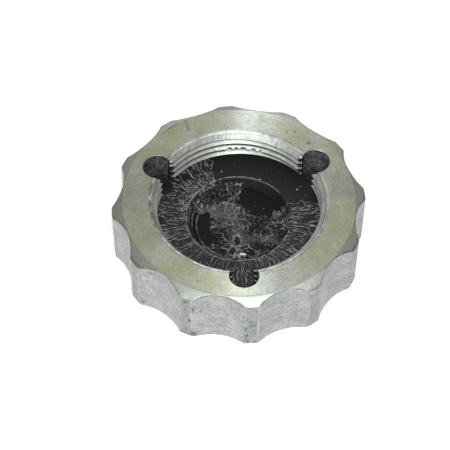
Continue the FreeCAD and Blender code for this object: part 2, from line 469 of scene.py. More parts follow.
def ring_folds(y, radius, azimuth, warps, strength, detail):
    """On the ring the folds run out along the radius and branch, with links across."""
    warp_a, warp_b, warp_c, warp_d = warps
    u = np.radians((azimuth - 60) % 360) * 23.0 + 0.8 * warp_a + 0.2 * warp_c
    v = (radius + warp_b + 0.3 * warp_d) / 4.4
    seeds = scattered((-3, 2), (150, 10), 1.15, 21)
    away, across, kept = cell_edges(np.stack([u, v], -1), seeds, 61)
    front = smooth(-12, -20, y)
    long_folds = ((1 - 0.25 * front) * bell(away, 0.11 - 0.025 * front) * smooth(0.08, 0.7, kept)
                  * (1 - 0.7 * smooth(0.5, 0.85, across)) * (0.3 + 0.7 * smooth(0.2, 0.6, detail)))
    seeds = scattered((-3, 4), (150, 15), 0.8, 22)
    away, across, kept = cell_edges(np.stack([u + 0.2 * warp_d, v * 1.5], -1), seeds, 62)
    short_folds = (bell(away, 0.085) * smooth(0.55, 1.0, kept)
                   * (1 - 0.7 * smooth(0.6, 0.9, across)) * (0.25 + 0.6 * smooth(0.3, 0.8, strength)))
    return np.maximum(long_folds, short_folds)


def floor_folds(x, y, warps, strength, detail):
    """On the floor they close into cells, and lie over one another as thin lines.

    Gives all of them together, then the big and the fine ones.
    """
    warp_a, warp_b, warp_c, warp_d = warps
    at = np.stack([x + 1.1 * warp_a + 0.32 * warp_c, y + 1.1 * warp_b + 0.32 * warp_d], -1)
    away, _, kept = cell_edges(at, scattered((-31, -31), (31, 31), 3.3, 23), 63)
    big = bell(away, 0.11) * smooth(0.35, 1.0, kept) * (0.15 + 0.6 * detail)
    seeds = scattered((-31, -31), (31, 31), 1.25, 24)
    away, _, kept = cell_edges(at + 0.22 * warp_c[:, None], seeds, 64)
    fine = bell(away, 0.1) * smooth(0.3, 0.95, kept)
    slanted = np.stack([0.3 * (at[:, 0] + 0.4 * at[:, 1]), at[:, 1] - 0.3 * at[:, 0]], -1)
    seeds = scattered((-12, -31), (12, 31), 1.6, 25)
    away, _, kept = cell_edges(slanted + 0.2 * warp_d[:, None], seeds, 65)
    thin = bell(away, 0.07) * smooth(0.6, 1.0, kept) * 0.4 * strength
    every = np.maximum.reduce([big, thin, fine * (0.25 + 0.6 * smooth(0.45, 0.75, strength))])
    return every, big, fine


def film_cover(x, y, radius, azimuth, floor_share, ragged):
    """How much of the film is left, and the azimuth at which it is torn off on the ring."""
    edge = np.interp(radius, *RING_EDGE) + 2.2 * ragged
    edge_low = np.interp(radius, *RING_EDGE_LOW) + 2.2 * ragged
    bare_ring = smooth(-0.9, 0.9, edge - azimuth) * smooth(-1.5, 1.5, azimuth - edge_low)
    patch = np.hypot((azimuth - 154.5) / 7.0, (radius - 29.2) / 2.9)
    bare_ring = np.maximum(bare_ring, smooth(1.15, 0.75, patch + 0.12 * ragged))
    border = np.interp(x, *FLOOR_EDGE) + 0.9 * ragged
    bare_floor = smooth(-0.3, 0.3, y - border) * smooth(-0.5, 0.5, x + 2.6 - (y - 9.8) * 0.67 + 1.3 * ragged)
    strip = (smooth(-0.3, 0.3, -9.5 - x + 1.7 * ragged) * smooth(-9.4, -8.6, y + 0.6 * ragged)
             * smooth(5.2, 4.6, y + 0.7 * ragged))
    bare_floor = np.maximum(bare_floor, strip)
    return 1 - np.clip(bare_ring * (1 - floor_share) + bare_floor * floor_share, 0, 1), edge


def pale_marks(x, y, radius, azimuth, warps, detail):
    """A painted glint at the front of the floor, thin pale lines, those on the ring's lip painted highlights,
    and specks.
    """
    warp_a, _, warp_c, warp_d = warps
    glint = np.hypot((x - 1.7) / 1.5, (y + 12.6) / 0.5) * (1 + 0.3 * warp_d)
    marks = smooth(1.1, 0.7, glint)
    for at, first, last, much in PALE_ARCS:
        arc = smooth(first - 4, first + 4, azimuth) * smooth(last + 4, last - 4, azimuth)
        arc = arc * (0.35 + 0.65 * smooth(0.35, 0.6, detail))
        marks = np.maximum(marks, much * arc * bell(radius - at - 0.08 * warp_a, 0.15))
    for sx, sy, size in SPECKS:
        d = np.hypot(x - sx, y - sy) / size * (1 + 0.4 * warp_c)
        marks = np.maximum(marks, min(0.9, 1.9 * size) * smooth(1.2, 0.4, d))
    return marks


def crinkle(x, y):
    """The film at points of the ring plane: height of its folds and how pale it is, each 0 to 1."""
    flat = points_at(x, y)
    radius, azimuth = np.hypot(x, y), np.degrees(np.arctan2(y, x)) % 360
    warps = [noise(flat, size, seed) for size, seed in ((3.4, 3), (3.0, 4), (1.2, 5), (1.1, 6))]
    strength, detail, patch = (0.5 + 0.5 * noise(flat, size, seed)
                               for size, seed in ((3.2, 7), (1.1, 8), (6.0, 17)))
    ragged = noise(flat, 2.2, 9) + 0.5 * noise(flat, 0.8, 18)

    on_ring = ring_folds(y, radius, azimuth, warps, strength, detail)
    on_floor, big, fine = floor_folds(x, y, warps, strength, detail)
    # Lace around the ring's inner edge at the back left
    inner = smooth(23.8, 20.0, radius + 1.2 * warps[1])
    lace = smooth(100, 116, azimuth) * smooth(205, 170, azimuth) * inner
    on_ring = np.maximum(on_ring * (1 - 0.5 * lace), lace * np.maximum(fine * 1.1, 0.7 * big))
    floor_share = 1 - smooth(15.9, 16.7, radius)
    fold = on_ring * (1 - floor_share) + on_floor * floor_share
    haze = smooth(0.35, 0.9, patch) * (0.02 + 0.15 * floor_share) * (0.6 + 0.4 * detail)
    haze = haze + 0.07 * lace * detail
    haze = haze + 0.1 * floor_share * bell(x, 6.5, -2.5) * bell(y, 6.0, 4.0) * (0.5 + 0.5 * strength)

    # Dark bubbles on the floor, each with a pale border
    for bx, by, wide, long, turn in BUBBLES:
        c, s = math.cos(math.radians(turn)), math.sin(math.radians(turn))
        d = np.hypot(((x - bx) * c + (y - by) * s) / wide, ((y - by) * c - (x - bx) * s) / long)
        d = d * (1 + 0.22 * warps[2] + 0.12 * warps[3])
        inside = smooth(1.1, 0.85, d)
        fold = fold * (1 - inside) + 0.6 * detail * bell(d, 0.13, 1.15) * (1 - inside)
        haze = haze * (1 - 0.85 * inside) + 0.06 * inside * detail

    # Where the film has come off; its torn edge is thicker
    cover, edge = film_cover(x, y, radius, azimuth, floor_share, ragged)
    torn = bell((azimuth - edge) * np.radians(1) * radius, 0.2) * (1 - floor_share) * (0.15 + 0.5 * detail)
    fold = np.maximum(fold * cover, torn * (radius > 17.6))
    fold = np.maximum(fold, pale_marks(x, y, radius, azimuth, warps, detail))
    return fold, np.clip(fold + haze * cover, 0, 1)


# Wear, dirt, painted shade and highlights, and unevenness on the meshes

# Dirt and painted shade on the turned face, the shade narrowing its highlights, painted shade in the lead-in
# and painted highlights on the chamfer: azimuth, width, how much
RIM_DIRT_AND_SHADE = [(8, 12, 0.2), (95.5, 6.5, 0.17), (100, 12, 0.42), (116, 10, 0.14), (140, 16, 0.12),
            (176, 18, 0.28), (206, 13, 0.13), (252, 14, 0.24), (278, 8, 0.1)]
LEAD_IN_SHADE = [(107, 11, 0.3), (164, 14, 0.3)]
CHAMFER_HIGHLIGHT = [(307, 13, 0.3), (247, 13, 0.14)]
# Pits in the cast outside: azimuth, height, radius, depth
PITS = [(-141.5, 17.5, 1.0, 0.35), (-112.0, 8.0, 0.8, 0.2), (-72.0, 5.0, 0.9, 0.2), (-60.0, 14.0, 0.7, 0.2)]
# Dark dirt on the lobes: azimuth, height, half width, half height, how much
SMUDGES = [(225.2, 21.3, 0.8, 0.7, 1.7), (220.7, 18.4, 0.5, 0.6, 1.5), (221.2, 3.5, 1.3, 0.7, 1.4),
           (246.8, 20.4, 1.2, 0.9, 1.2), (250.2, 17.2, 0.4, 1.5, 1.3), (248.8, 10.7, 0.6, 0.8, 1.6),
           (246.8, 4.9, 1.3, 0.7, 1.15), (250.6, 2.5, 1.4, 0.7, 1.3), (274.2, 15.2, 0.3, 1.8, 1.3),
           (274.3, 10.4, 0.35, 0.5, 1.5), (277.6, 11.8, 1.3, 0.3, 1.1), (274.6, 6.0, 0.6, 0.6, 1.4),
           (275.1, 2.9, 0.8, 0.5, 1.2)]
# A painted glint on a lobe
GLINT_AT, GLINT_RADIUS = on_outside(-54.0, 21.2), 0.75


class Skin:
    """A mesh's vertices in millimetres, with the values that its materials read.

    x, y and z are views of the points, so a change of one moves the vertices.
    """

    def __init__(self, mesh):
        self.mesh = mesh
        co = np.empty(len(mesh.vertices) * 3, np.float32)
        mesh.vertices.foreach_get("co", co)
        self.points = co.reshape(-1, 3).astype(float) * 1000
        self.x, self.y, self.z = self.points.T
        self.radius = np.hypot(self.x, self.y)
        self.azimuth = np.degrees(np.arctan2(self.y, self.x)) % 360
        # The worn values also carry painted highlights, and the grime values painted shade as well as dirt.
        self.bloom, self.worn, self.grime, self.patina = np.zeros((4, len(self.points)))

    def store(self, *names):
        """Puts the moved vertices and the named values into the mesh."""
        self.mesh.vertices.foreach_set("co", (self.points * 0.001).astype(np.float32).ravel())
        self.mesh.update()
        for name in names:
            attribute = self.mesh.attributes.new(name, "FLOAT", "POINT")
            attribute.data.foreach_set("value", getattr(self, name).astype(np.float32))


def rim_patina_and_highlight_tint(azimuth):
    """How yellow the turned face is; it is worn at the sides, and its yellow is taken away at the front and
    the back, a painted highlight tint where its highlights lie.
    """
    from_front = (azimuth + 72.0 + 180.0) % 360.0 - 180.0
    return 1.0 - bell(from_front, 24.0) - zones(azimuth, ((82, 17, 1.0), (5, 18, 0.5), (178, 22, 0.45)))


def weather_rim(skin):
    """Patina, dirt and painted shade on the turned face, and painted highlights on its chamfer."""
    face = (skin.z > HEIGHT - 0.05) & (skin.radius > BURR_OUTER + 0.1)
    rim = face | ((skin.z > CHAMFER_FOOT - 0.1) & (skin.radius > FACE_RADIUS - 0.1))
    spread = 0.8 + 0.6 * noise(skin.points[rim], 5.0, 45)
    skin.patina[rim] = np.clip(rim_patina_and_highlight_tint(skin.azimuth[rim]) * spread, 0, 1)
    skin.grime[rim] = zones(skin.azimuth[rim], RIM_DIRT_AND_SHADE)
    # A dark scratch follows the face's edge on one lobe
    scratch = rim & (np.abs(skin.radius - FACE_RADIUS + 0.1) < 0.15)
    skin.grime[scratch] += 0.6 * bell(skin.azimuth[scratch], 5.5, 128.0)
    chamfer = rim & (skin.radius > FACE_RADIUS + 0.1)
    skin.patina[chamfer] *= 0.55
    # Painted highlights on two lobes of the chamfer
    skin.worn[chamfer] = zones(skin.azimuth[chamfer], CHAMFER_HIGHLIGHT)


def weather_mouth_edge(skin):
    """The mouth's edge is burred bright, brighter towards the front as a painted highlight, and dark at the
    sides.
    """
    burr = (skin.z > HEIGHT - 0.3) & (skin.radius < BURR_OUTER)
    p, azimuth = skin.points[burr], skin.azimuth[burr]
    left = smooth(125, 150, azimuth) * smooth(225, 195, azimuth)
    side = np.maximum(left, smooth(60, 40, np.minimum(azimuth, 360 - azimuth)))
    # The burr is paler towards the front: a painted highlight
    shine = (1 - side) * (0.3 + 0.6 * smooth(-10, -24, p[:, 1]))
    skin.worn[burr] = smooth(-0.3, 0.6, noise(p, 0.8, 46)) * shine
    skin.grime[burr] = np.where(p[:, 0] < 0, 0.9, 0.3) * side * smooth(-0.5, 0.3, noise(p, 2.5, 47))
    # The valley between the burr and the face is dark at the front, the left and the back right
    valley = burr & (np.abs(skin.z - HEIGHT + 0.03) < 0.01)
    p = skin.points[valley]
    dark = np.maximum.reduce([smooth(0, -14, p[:, 1]), smooth(-16, -26, p[:, 0]),
                              bell(skin.azimuth[valley], 18.0, 55.0)])
    skin.worn[valley] = 0.0
    skin.grime[valley] = 0.75 * smooth(-0.6, 0.2, noise(p, 1.5, 50)) * dark
    # Painted shade on the lead-in beside its highlight
    lead_in = (skin.z > LEAD_IN_FOOT) & (skin.z < HEIGHT - 0.05) & (skin.radius < 30.9) & (skin.y > 0)
    skin.grime[lead_in] = zones(skin.azimuth[lead_in], LEAD_IN_SHADE)


def weather_dish(skin):
    """The dish's slope and floor are darkened as painted shade, and the film's folds rise from its floor."""
    in_mouth = (skin.z > MOUTH_BOTTOM) & (skin.z < RING_SEAT + 0.01)
    # Painted shade in the recess under the ring and on the dish's floor
    skin.grime[in_mouth & (skin.radius > DISH_FLOOR_RADIUS - 0.1) & (skin.radius < RING_OUTER)] = 1.0
    skin.grime[(skin.z > MOUTH_BOTTOM) & (skin.radius < DISH_FLOOR_RADIUS)] = 0.75
    inside = in_mouth & (skin.radius < DISH_RADIUS + 0.3)
    fold, pale = crinkle(skin.x[inside], skin.y[inside])
    skin.z[inside] += 0.14 * fold + 0.06 * noise(skin.points[inside], 2.0, 31)
    skin.bloom[inside] = pale


def weather_thread(skin):
    """Painted shade lies in the thread's roots and around its cut ends, and the cut ends behind the rear
    notches get painted highlights on their burrs.
    """
    threaded = (skin.z > THREAD_END - 0.01) & (skin.z < LEAD_IN_FOOT + 0.2) & (skin.radius < RELIEF_RADIUS)
    streaks = 0.8 + 0.3 * noise(skin.points[threaded], 1.5, 43)
    skin.grime[threaded] = smooth(29.25, 29.75, skin.radius[threaded]) * streaks
    cut_through = (skin.radius < RELIEF_RADIUS) & (skin.z > THREAD_END) & (skin.z < HEIGHT - 0.5)
    for notch in NOTCH_AZIMUTHS:
        end = cut_through & (off_notch(skin.x, skin.y, notch) < 0.9)
        flank = smooth(29.95, 29.6, skin.radius[end])
        burr = 0.7 + 0.3 * smooth(-0.3, 0.2, noise(skin.points[end], 1.2, 44))
        # Painted highlights on the burrs that face the front, and painted shade where the notch's void shows
        skin.worn[end] = burr * np.where(behind_notch(skin.y[end], notch), 1.0, 0.1) * flank
        skin.grime[end] = 0.95 * (1 - flank)


def weather_notches(skin):
    """Rough floors and mottled walls, and the film on the floor of the front notch."""
    inside = (skin.radius > RELIEF_RADIUS + 0.05) & (skin.radius < NOTCH_CENTRE + NOTCH_RADIUS + 0.6)
    inside &= (skin.z > NOTCH_FLOOR - 0.2) & (skin.z < HEIGHT - 0.5)
    depth = (HEIGHT - skin.z[inside]) / (HEIGHT - NOTCH_FLOOR)
    fold, pale = crinkle(skin.x[inside], skin.y[inside])
    front = skin.y[inside] < -20
    level = smooth(NOTCH_FLOOR + 0.6, NOTCH_FLOOR, skin.z[inside])
    skin.z[inside] += level * (0.16 * fold * front + 0.10 * noise(skin.points[inside], 1.1, 32))
    p = skin.points[inside]
    wall = smooth(NOTCH_FLOOR + 0.1, NOTCH_FLOOR + 1.1, p[:, 2])
    mottle = 0.19 + 0.12 * noise(p, 1.0, 35) + 0.1 * noise(p, 0.5, 36)
    film = pale * 0.8 * smooth(0.2, 0.9, depth) * (1 - 0.75 * wall)
    dust = 0.05 + 0.05 * noise(p, 0.7, 37)
    skin.bloom[inside] = np.maximum(np.where(front, film, dust), wall * mottle)


def weather_outside(skin):
    """The cast outside isn't true: it has shallow waves, sinks and pits, it is dirty, and it has a painted
    glint.
    """
    crease = crease_height(skin.azimuth)
    at_crease = (np.abs(skin.z - crease) < 0.18) & (skin.radius > FACE_RADIUS + 0.3) & (skin.z < HEIGHT - 0.1)
    skin.grime[at_crease] = 0.65 * smooth(-0.6, 0.2, noise(skin.points[at_crease], 2.2, 49))
    outside = (skin.radius > OUTSIDE_FROM) & (skin.z < CHAMFER_FOOT - 0.1) & (skin.z > 0.3)
    p, azimuth, radius = skin.points[outside], skin.azimuth[outside], skin.radius[outside]
    z = p[:, 2]
    push = 0.07 * noise(p, 7.0, 33) + 0.035 * noise(p, 2.2, 34)
    push = np.minimum(push, 0.0) - 0.02 + np.maximum(push, 0.0) * 0.3
    for at, up, size, deep in PITS:
        d = np.linalg.norm(p - on_outside(at, up), axis=1) / size
        push -= deep * np.maximum(0, 1 - d * d)
    # The lands are darker, with a pale line along each corner and dirt at the foot
    phi = off_scallop(azimuth)
    corner = hashed(points_at(np.round(azimuth / (SECTOR / 2))), 71)
    lightened = bell(phi, 0.24, 12.2) * (0.1 + 0.75 * corner) * smooth(-0.6, 0.5, noise(p, 2.4, 38))
    dirt = smooth(-0.1, 0.5, noise(p, 1.7, 39)) * smooth(3.2, 0.6, z) * smooth(7.5, 11.0, phi)
    land = 0.42 * smooth(10.8, 12.6, phi) * (0.8 + 0.4 * noise(p, 1.2, 40))
    grime = np.clip(land + 0.8 * dirt, 0, 1)
    broken = 1.05 + 0.35 * noise(p, 0.9, 51)
    for at, up, wide, high, much in SMUDGES:
        across = np.radians(azimuth - at) * radius
        spot = smooth(1.5, 0.5, np.hypot(across / wide, (z - up) / high))
        grime = np.maximum(grime, much * spot * broken)
    # A painted glint near one lobe's corner
    from_glint = np.linalg.norm(p - GLINT_AT, axis=1) / GLINT_RADIUS
    skin.worn[outside] = np.maximum(lightened, smooth(1.0, 0.5, from_glint))
    # A broken dark line under the turned chamfer
    under_edge = smooth(0.5, 0.2, crease[outside] - z) * smooth(-0.5, 0.4, noise(p, 2.0, 48))
    skin.grime[outside] = np.maximum(grime, under_edge)
    skin.x[outside] += push * p[:, 0] / radius
    skin.y[outside] += push * p[:, 1] / radius


def shade_crest_ends(mesh):
    """Beside the two rear notches the ends of the thread's crests get the black cored finish: painted shade
    where the notch's void shows behind them.
    """
    polygons = mesh.polygons
    centres = np.zeros(len(polygons) * 3)
    polygons.foreach_get("center", centres)
    kinds = np.zeros(len(polygons), dtype=np.int32)
    polygons.foreach_get("material_index", kinds)
    x, y, z = centres.reshape(-1, 3).T * 1000.0
    radius = np.hypot(x, y)
    cut_through = (radius < RELIEF_RADIUS - 0.1) & (z > THREAD_END) & (z < HEIGHT - 0.5)
    for notch in NOTCH_AZIMUTHS:
        # The faces so marked are painted shade
        torn = off_notch(x, y, notch) < 0.05 + 1.25 * smooth(29.5, 28.8, radius)
        kinds[cut_through & torn & behind_notch(y, notch)] = CORED
    polygons.foreach_set("material_index", kinds)


def weather_cap(cap):
    """Casting unevenness outside, folds and roughness inside, on the cut cap."""
    skin = Skin(cap.data)
    weather_rim(skin)
    weather_mouth_edge(skin)
    weather_dish(skin)
    weather_thread(skin)
    weather_notches(skin)
    weather_outside(skin)
    skin.store("bloom", "worn", "grime", "patina")
    shade_crest_ends(cap.data)


def sealing_ring(materials):
    """The rubber ring on its seat, the crinkled film on its top and inner wall as real folds."""
    columns = 900
    turn = np.arange(columns) * 2 * math.pi / columns
    outer = RING_OUTER - 0.05
    profile = [(DISH_RADIUS + 0.02, RING_SEAT), (29.7, RING_SEAT), (outer, RING_SEAT + 0.25),
               (outer, RING_TOP - 0.3), (RING_OUTER - 0.12, RING_TOP - 0.1), (29.65, RING_TOP - 0.02)]
    profile += [(r, RING_TOP) for r in np.linspace(29.4, RING_INNER + 0.45, 52)]
    profile += [(RING_INNER + 0.2, RING_TOP - 0.07), (RING_INNER + 0.02, RING_TOP - 0.22)]
    lean = (RING_INNER - DISH_RADIUS) / (RING_TOP - RING_SEAT)
    profile += [(RING_INNER - (RING_TOP - z) * lean, z)
                for z in np.linspace(RING_TOP - 0.45, RING_SEAT + 0.02, 13)]
    shell = Shell()
    rows = [shell.row(r * np.cos(turn), r * np.sin(turn), z) for r, z in profile]
    shell.join_all(rows + rows[:1], 0)
    ring = shell.build("ring_rubber", materials)

    skin = Skin(ring.data)
    on_top = (skin.z > RING_TOP - 0.05) & (skin.radius < 29.5)
    shown = on_top | ((skin.radius < RING_INNER + 0.3) & (skin.z > RING_SEAT + 0.1))
    x, y, radius = skin.x[shown], skin.y[shown], skin.radius[shown]
    # On the leaning wall the film follows the slope, so its pattern is read further in
    reach = radius - 0.6 * (RING_TOP - skin.z[shown])
    fold, pale = crinkle(x * reach / radius, y * reach / radius)
    room = smooth(29.5, 28.6, radius)
    level = smooth(RING_INNER - 0.2, RING_INNER + 0.8, radius)
    unevenness = 0.03 * noise(skin.points[shown], 2.5, 41) - 0.02
    skin.z[shown] += level * (0.17 * fold * (0.4 + 0.6 * room) + unevenness)
    inward = (1 - level) * (0.2 * fold + 0.05 * noise(skin.points[shown], 1.5, 42))
    skin.x[shown] -= inward * x / radius
    skin.y[shown] -= inward * y / radius
    skin.bloom[shown] = pale
    skin.store("bloom")
    return ring


# Materials

class Nodes:
    """A short way to write the node tree of a material or of the world."""

    def __init__(self, owner, shader="Principled BSDF"):
        owner.use_nodes = True
        self.owner = owner
        self.tree = owner.node_tree
        self.shader = self.tree.nodes[shader]

    @cached_property
    def coordinates(self):
        return self.add("ShaderNodeTexCoord").outputs["Object"]

    def add(self, kind, inputs=None, **settings):
        node = self.tree.nodes.new(kind)
        for key, setting in settings.items():
            setattr(node, key, setting)
        for key, source in (inputs or {}).items():
            self.set(node.inputs[key], source)
        return node

    def set(self, socket, source):
        if isinstance(source, bpy.types.NodeSocket):
            self.tree.links.new(source, socket)
        else:
            socket.default_value = source

    def noise(self, scale, detail, roughness, vector=None):
        """Noise whose features are about 1/scale millimetres."""
        return self.add("ShaderNodeTexNoise", {"Vector": vector or self.coordinates, "Scale": scale * 1000.0,
                                               "Detail": detail, "Roughness": roughness}).outputs["Fac"]

    def mix(self, factor, a, b):
        """A mix of two colours. Its sockets go by number, because several share a name."""
        return self.add("ShaderNodeMix", {0: factor, 6: a, 7: b}, data_type="RGBA").outputs[2]

    def math(self, operation, a, b=0.0, clamp=False):
        return self.add("ShaderNodeMath", {0: a, 1: b}, operation=operation, use_clamp=clamp).outputs[0]

    def span(self, factor, low, high, to_low=0.0, to_high=1.0):
        """Factor taken from one range to another, held at the ends."""
        return self.add("ShaderNodeMapRange", {"Value": factor, "From Min": low, "From Max": high,
                                               "To Min": to_low, "To Max": to_high}).outputs["Result"]

    def value(self, name):
        return self.add("ShaderNodeAttribute", attribute_name=name).outputs["Fac"]

    def lay(self, base, tone, source, low, high, much=1.0):
        """Base with a written colour over it: none where source is low, much where it is high."""
        return self.mix(self.span(source, low, high, 0.0, much), base, colour(tone))

    def bump(self, height, strength, distance, under=None):
        inputs = {"Height": height, "Strength": strength, "Distance": distance * 0.001}
        if under:
            inputs["Normal"] = under
        return self.add("ShaderNodeBump", inputs).outputs["Normal"]

    def finish(self, **sockets):
        for key, source in sockets.items():
            self.set(self.shader.inputs[key.replace("_", " ")], source)
        return self.owner


def colour(text):
    """Linear red, green, blue and alpha of a written colour such as B4B6B4."""
    parts = [int(text[i:i + 2], 16) / 255 for i in (0, 2, 4)]
    return *(v / 12.92 if v <= 0.04045 else ((v + 0.055) / 1.055) ** 2.4 for v in parts), 1


def cast_metal():
    """Cast aluminium: grey patches and grain, level streaks, pits, dirt, pale corner lines and a painted
    glint.
    """
    n = Nodes(bpy.data.materials.new("cast_aluminium"))
    grain = n.noise(1.5, 5.0, 0.65)
    patches = n.noise(0.16, 3.0, 0.55)
    pits = n.span(n.noise(1.1, 2.0, 0.5), 0.60, 0.72)
    grime = n.value("grime")
    base = n.mix(n.span(patches, 0.35, 0.65), colour("A8A7A4"), colour("C3C2BE"))
    level = n.add("ShaderNodeMapping", {"Vector": n.coordinates, "Scale": (0.3, 0.3, 1.3)}).outputs["Vector"]
    base = n.lay(base, "868887", n.noise(0.45, 4.0, 0.6), 0.42, 0.66, 0.35)
    base = n.lay(base, "7C7E7D", n.noise(0.9, 4.0, 0.65, level), 0.44, 0.64, 0.4)
    base = n.lay(base, "767877", grain, 0.42, 0.62, 0.45)
    base = n.lay(base, "6C6F6E", n.noise(3.0, 3.0, 0.7), 0.38, 0.62, 0.4)
    base = n.lay(base, "D2D3D0", n.noise(1.6, 4.0, 0.65), 0.54, 0.66, 0.4)
    base = n.lay(base, "6C6F6D", grime, 0.0, 1.0, 0.75)
    base = n.mix(n.math("MULTIPLY", pits, n.span(grime, 0.0, 0.5, 0.3, 0.8)), base, colour("505252"))
    base = n.lay(base, "3E403F", grime, 0.8, 1.5, 0.85)
    # Paler by the worn values: pale corner lines and a painted glint
    lightened = n.math("MULTIPLY", n.value("worn"), n.span(grain, 0.35, 0.6, 0.35, 1.0))
    base = n.mix(lightened, base, colour("DADDDB"))
    rough = n.span(grain, 0.3, 0.7, 0.42, 0.6)
    normal = n.bump(n.math("SUBTRACT", 1.0, pits), 0.6, 0.15, n.bump(grain, 0.55, 0.12))
    return n.finish(Base_Color=base, Metallic=0.45, Roughness=rough, Normal=normal)


def turned(name, dull, bright, worn, tint, grit, streaks, roughness, anisotropy, turn=0.25, marks=()):
    """Turned metal: soft patches, faint rings of the tool, and a highlight drawn out along the radius."""
    n = Nodes(bpy.data.materials.new(name))
    patches = n.noise(0.11, 4.0, 0.6)
    grain = n.noise(1.6, 4.0, 0.7)
    fine = n.noise(4.5, 2.0, 0.6)
    base = n.mix(n.span(patches, 0.35, 0.65), colour(dull), colour(bright))
    base = n.lay(base, worn, n.noise(0.35, 5.0, 0.65), 0.5, 0.66, 0.5)
    uneven = n.span(n.noise(0.3, 3.0, 0.6), 0.3, 0.6, 0.5, 1.2)
    base = n.mix(n.math("MULTIPLY", n.value("patina"), uneven, clamp=True), base, colour(tint))
    base = n.lay(base, worn, grain, 0.42, 0.62, 0.8 * grit)
    base = n.lay(base, worn, fine, 0.38, 0.62, 0.5 * grit)
    # Darker by the grime values: dirt, and painted shade on the face, the lead-in and the thread's roots
    base = n.mix(n.value("grime"), base, colour("444640"))
    # Brighter by the worn values: burrs, and painted highlights on the chamfer, the mouth's edge and the
    # thread's cut ends
    base = n.mix(n.math("MULTIPLY", n.value("worn"), n.span(fine, 0.35, 0.55)), base, colour("E6E9E6"))
    for x, y, reach_x, reach_y, much in marks:
        place = n.add("ShaderNodeMapping", {
            "Vector": n.coordinates, "Location": (-x / reach_x, -y / reach_y, 0),
            "Scale": (1000 / reach_x, 1000 / reach_y, 0)}).outputs["Vector"]
        far = n.add("ShaderNodeVectorMath", {0: place}, operation="LENGTH").outputs["Value"]
        far = n.math("ADD", far, n.span(fine, 0.3, 0.7, -0.35, 0.35))
        base = n.mix(n.span(far, 0.6, 1.1, much, 0.0), base, colour("4A4B44"))
    rings = n.add("ShaderNodeTexWave",
                  {"Vector": n.coordinates, "Scale": 900.0, "Distortion": 0.0, "Detail": 0.0},
                  wave_type="RINGS", rings_direction="Z").outputs["Fac"]
    # Streaks drawn out around the axis: noise read by radius and height, and hardly by azimuth
    x, y, z = n.add("ShaderNodeSeparateXYZ", {"Vector": n.coordinates}).outputs
    radius = n.math("SQRT", n.math("ADD", n.math("MULTIPLY", x, x), n.math("MULTIPLY", y, y)))
    along = n.add("ShaderNodeCombineXYZ", {
        "X": n.math("MULTIPLY", radius, 8.0), "Y": n.math("MULTIPLY", z, 5.0),
        "Z": n.math("MULTIPLY", n.math("ARCTAN2", y, x), 0.004)}).outputs["Vector"]
    base = n.lay(base, worn, n.noise(0.5, 2.0, 0.6, along), 0.5, 0.62, streaks)
    normal = n.bump(rings, 0.1, 0.03, n.bump(grain, 0.3, 0.06))
    tangent = n.add("ShaderNodeTangent", direction_type="RADIAL", axis="Z").outputs["Tangent"]
    return n.finish(Base_Color=base, Metallic=0.9, Roughness=roughness, Anisotropic=anisotropy,
                    Anisotropic_Rotation=turn, Tangent=tangent, Normal=normal)


def film_colour(n, base):
    """Lays the pale film over a black base, by the mesh's own bloom values."""
    speck = n.span(n.noise(2.6, 2.0, 0.6), 0.3, 0.7, 0.65, 1.2)
    share = n.math("MULTIPLY", n.span(n.value("bloom"), 0.03, 0.9), speck, clamp=True)
    base = n.mix(share, base, colour("ACACA8"))
    # Near white where bloom is highest: the palest folds and the painted glint on the floor
    return n.lay(base, "EDEDEB", n.value("bloom"), 0.93, 0.99), share


def cored_metal():
    """The black finish of the notches and the floor, darker and duller by the grime values: dirt, and painted
    shade in the dish and at the thread's cut ends.
    """
    n = Nodes(bpy.data.materials.new("cored_black"))
    grain = n.noise(2.0, 4.0, 0.65)
    base = n.mix(n.span(grain, 0.35, 0.75), colour("0B0C0C"), colour("1C1D1B"))
    base = n.mix(n.value("grime"), base, colour("050505"))
    base, share = film_colour(n, base)
    rough = n.span(n.math("SUBTRACT", n.value("grime"), share), 0, 1, 0.62, 0.95)
    return n.finish(Base_Color=base, Roughness=rough, Specular_IOR_Level=0.2, Normal=n.bump(grain, 0.6, 0.12))


def rubber():
    n = Nodes(bpy.data.materials.new("black_rubber"))
    grain = n.noise(1.5, 3.0, 0.6)
    dust = n.span(n.noise(0.9, 4.0, 0.7), 0.68, 0.76)
    base = n.mix(n.span(grain, 0.35, 0.75), colour("121213"), colour("1C1C1C"))
    base = n.mix(n.math("MULTIPLY", dust, 0.4), base, colour("7A7A76"))
    base, share = film_colour(n, base)
    rough = n.span(share, 0, 1, 0.45, 0.6)
    return n.finish(Base_Color=base, Roughness=rough, Specular_IOR_Level=0.22,
                    Normal=n.bump(grain, 0.3, 0.05))


# Dark marks on the turned face: x, y, half width, half length, how much
MARKS = [(-19.5, 34.2, 0.5, 0.9, 0.5), (-18.9, 32.9, 0.5, 0.9, 0.5), (-18.4, 31.6, 0.5, 0.9, 0.55),
         (-18.7, 30.5, 0.7, 0.4, 0.45), (-25.4, 29.1, 0.6, 0.45, 0.4), (-23.7, 29.0, 0.5, 0.4, 0.4),
         (-26.9, 28.8, 0.5, 0.4, 0.3), (16.3, 30.8, 0.5, 0.7, 0.5), (19.2, 30.9, 0.4, 0.55, 0.6),
         (24.0, 25.9, 0.8, 0.7, 0.6), (-21.5, 30.5, 0.3, 0.4, 0.35), (-27.5, 22.5, 0.35, 0.3, 0.4),
         (-13.2, -34.8, 0.9, 0.4, 0.35), (-6.0, -36.2, 0.6, 0.35, 0.3)]
